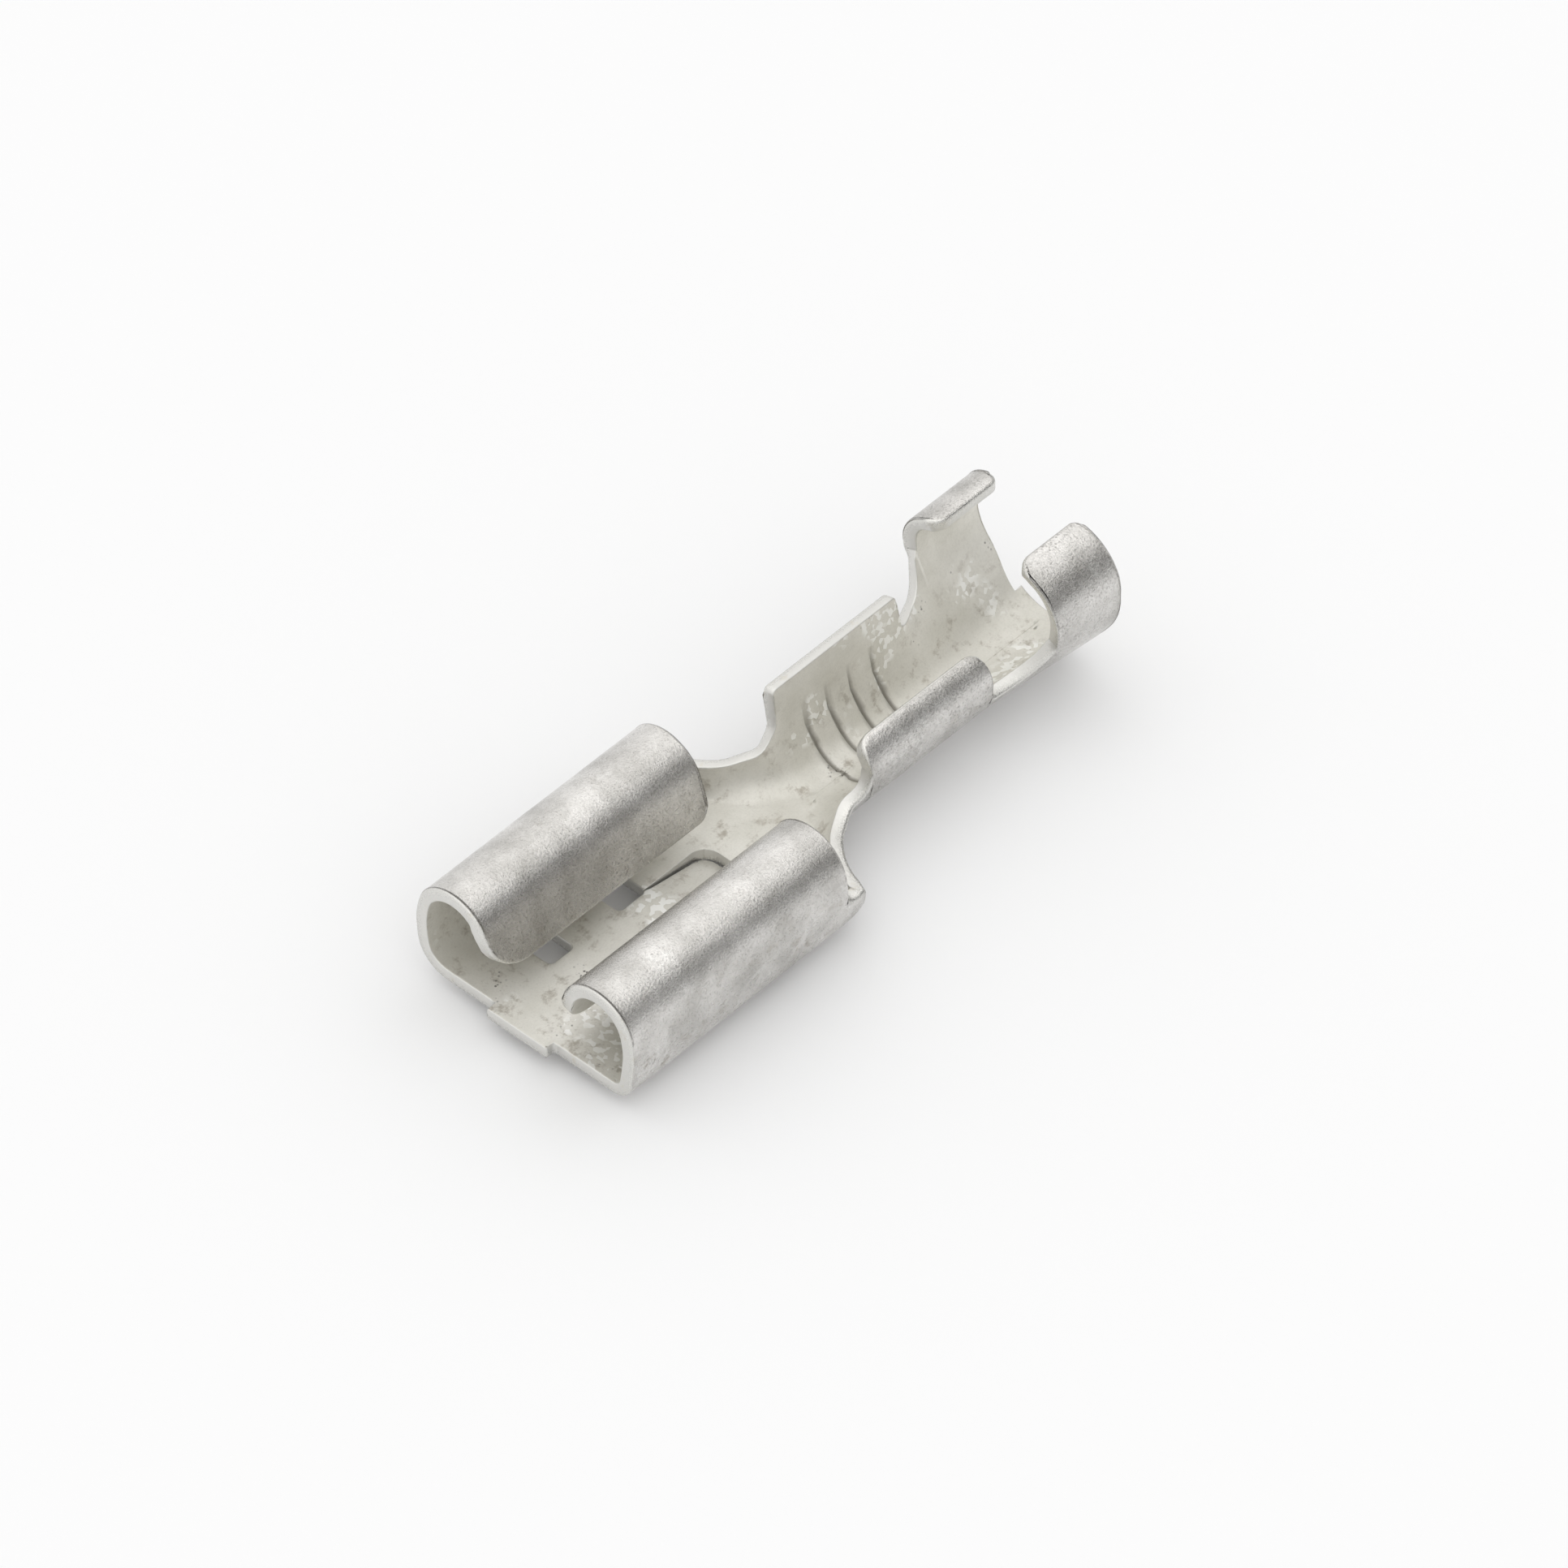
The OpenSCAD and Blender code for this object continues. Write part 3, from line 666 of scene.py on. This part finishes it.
across_groove = add(press, "ShaderNodeMapRange", {"interpolation_type": "SMOOTHSTEP"},
                    Value=off_centre.outputs[0], From_Min=flat_end.outputs[0], From_Max=slope_end.outputs[0],
                    To_Min=1.0, To_Max=0.0)
run = add(press, "GeometryNodeInputNamedAttribute", {"data_type": "FLOAT"}, Name="developed")
fade_start = add(press, "ShaderNodeMath", {"operation": "SUBTRACT"}, _0=given["Groove Reach"],
                 _1=groove_fade * MM)
along_groove = add(press, "ShaderNodeMapRange", {"interpolation_type": "SMOOTHSTEP"},
                   Value=run.outputs["Attribute"], From_Min=fade_start.outputs[0],
                   From_Max=given["Groove Reach"], To_Min=1.0, To_Max=0.0)
face = add(press, "GeometryNodeInputNamedAttribute", {"data_type": "FLOAT"}, Name="inside")
on_inside = add(press, "ShaderNodeMath", {"operation": "GREATER_THAN"}, _0=face.outputs["Attribute"], _1=0.9)
cut_here = add(press, "ShaderNodeMath", {"operation": "MULTIPLY"}, _0=across_groove.outputs[0],
               _1=along_groove.outputs[0])
cut_inside = add(press, "ShaderNodeMath", {"operation": "MULTIPLY"}, _0=cut_here.outputs[0],
                 _1=on_inside.outputs[0])
uneven = add(press, "ShaderNodeTexNoise", {"noise_dimensions": "3D"},
             Vector=add(press, "GeometryNodeInputPosition").outputs[0], Scale=waves_per_mm / MM, Detail=2.0)
hollow = add(press, "ShaderNodeMath", {"operation": "MULTIPLY"}, _0=uneven.outputs[0], _1=given["Unevenness"])
sunk = add(press, "ShaderNodeMath", {"operation": "MULTIPLY_ADD"}, _0=cut_inside.outputs[0],
           _1=given["Groove Depth"], _2=hollow.outputs[0])
shift = add(press, "ShaderNodeMath", {"operation": "MULTIPLY"}, _0=sunk.outputs[0], _1=-1.0)
push = add(press, "ShaderNodeVectorMath", {"operation": "SCALE"},
           Vector=add(press, "GeometryNodeInputNormal").outputs[0], Scale=shift.outputs[0]).outputs[0]
marked = add(press, "GeometryNodeStoreNamedAttribute", {"data_type": "FLOAT", "domain": "POINT"},
             Geometry=given["Geometry"], Name="groove", Value=cut_inside.outputs[0]).outputs[0]
pressed = add(press, "GeometryNodeSetPosition", Geometry=marked, Offset=push).outputs[0]
real = add(press, "GeometryNodeRealizeInstances", Geometry=pressed).outputs[0]
finished = add(press, "GeometryNodeSetMaterial", Geometry=real, Material=given["Finish"]).outputs[0]
add(press, "NodeGroupOutput", Geometry=finished)

pressing = strip.modifiers.new("press_tool", "NODES")
pressing.node_group = press
for socket in press.interface.items_tree:
    if socket.in_out == "INPUT" and socket.name == "Groove Depth":
        pressing[socket.identifier] = groove_depth * MM

terminal_mesh = bpy.data.meshes.new_from_object(strip.evaluated_get(bpy.context.evaluated_depsgraph_get()))
strip.modifiers.remove(pressing)
strip.data = terminal_mesh
strip.name = "pressed_terminal"
terminal_mesh.materials.clear()
terminal_mesh.materials.append(tin)
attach(strip, "root")
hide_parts("terminal")


# The plain white card that the terminal lies on. It is matt, so it shows only the terminal's soft
# shadow, and it goes on far past the view's edges.
table_height = min(corner[2] for corner in cad_box)
span = 1.5
table_mesh = bpy.data.meshes.new("table")
table_mesh.from_pydata([(-span, -span, table_height), (span, -span, table_height), (span, span, table_height),
                        (-span, span, table_height)], [], [(0, 1, 2, 3)])
table = bpy.data.objects.new("table", table_mesh)
bpy.context.scene.collection.objects.link(table)
card = bpy.data.materials.new("white_card")
card.use_nodes = True
card.node_tree.nodes["Principled BSDF"].inputs["Base Color"].default_value = linear("#FCFCFC")
card.node_tree.nodes["Principled BSDF"].inputs["Roughness"].default_value = 0.8
table_mesh.materials.append(card)

# What the metal reflects: pale all round and bright overhead, and on one side, in front of the wire end,
# a dark gap between the table and the overhead light. Everything but a reflection sees plain white.
world = bpy.data.worlds.new("studio")
bpy.context.scene.world = world
world.use_nodes = True
sky = world.node_tree
sky.nodes.clear()
gap_side = (0.64, -0.77, 0.0)
towards = add(sky, "ShaderNodeTexCoord").outputs["Generated"]
up = add(sky, "ShaderNodeSeparateXYZ", Vector=towards).outputs["Z"]
dark_side = add(sky, "ShaderNodeVectorMath", {"operation": "DOT_PRODUCT"}, _0=towards, _1=gap_side)
plain = add(sky, "ShaderNodeValToRGB", Fac=up)
gapped = add(sky, "ShaderNodeValToRGB", Fac=up)
for bands, levels in ((plain, ((0, 0.95), (0.3, 0.88), (0.6, 1.1), (0.85, 1.55), (1, 1.4))),
                      (gapped, ((0, 0.8), (0.08, 0.55), (0.2, 0.06), (0.68, 0.03), (0.77, 2.4), (1, 1.4)))):
    ramp = bands.color_ramp.elements
    ramp[0].position, ramp[1].position = levels[0][0], levels[-1][0]
    for position, _ in levels[1:-1]:
        ramp.new(position)
    for element, (_, level) in zip(ramp, levels):
        element.color = (level, level * 0.995, level * 0.985, 1)
share = add(sky, "ShaderNodeMapRange", {"interpolation_type": "SMOOTHSTEP"}, Value=dark_side.outputs["Value"],
            From_Min=0.3, From_Max=0.5)
reflected = add(sky, "ShaderNodeMix", {"data_type": "RGBA"}, _0=share.outputs[0], _6=plain.outputs[0],
                _7=gapped.outputs[0])
light_seen = add(sky, "ShaderNodeBackground", Color=reflected.outputs[2], Strength=1.0)
white_seen = add(sky, "ShaderNodeBackground", Color=(1, 1, 1, 1), Strength=1.0)
path = add(sky, "ShaderNodeLightPath")
mixed = add(sky, "ShaderNodeMixShader", Fac=path.outputs["Is Glossy Ray"], _1=white_seen.outputs[0],
            _2=light_seen.outputs[0])
add(sky, "ShaderNodeOutputWorld", Surface=mixed.outputs[0])
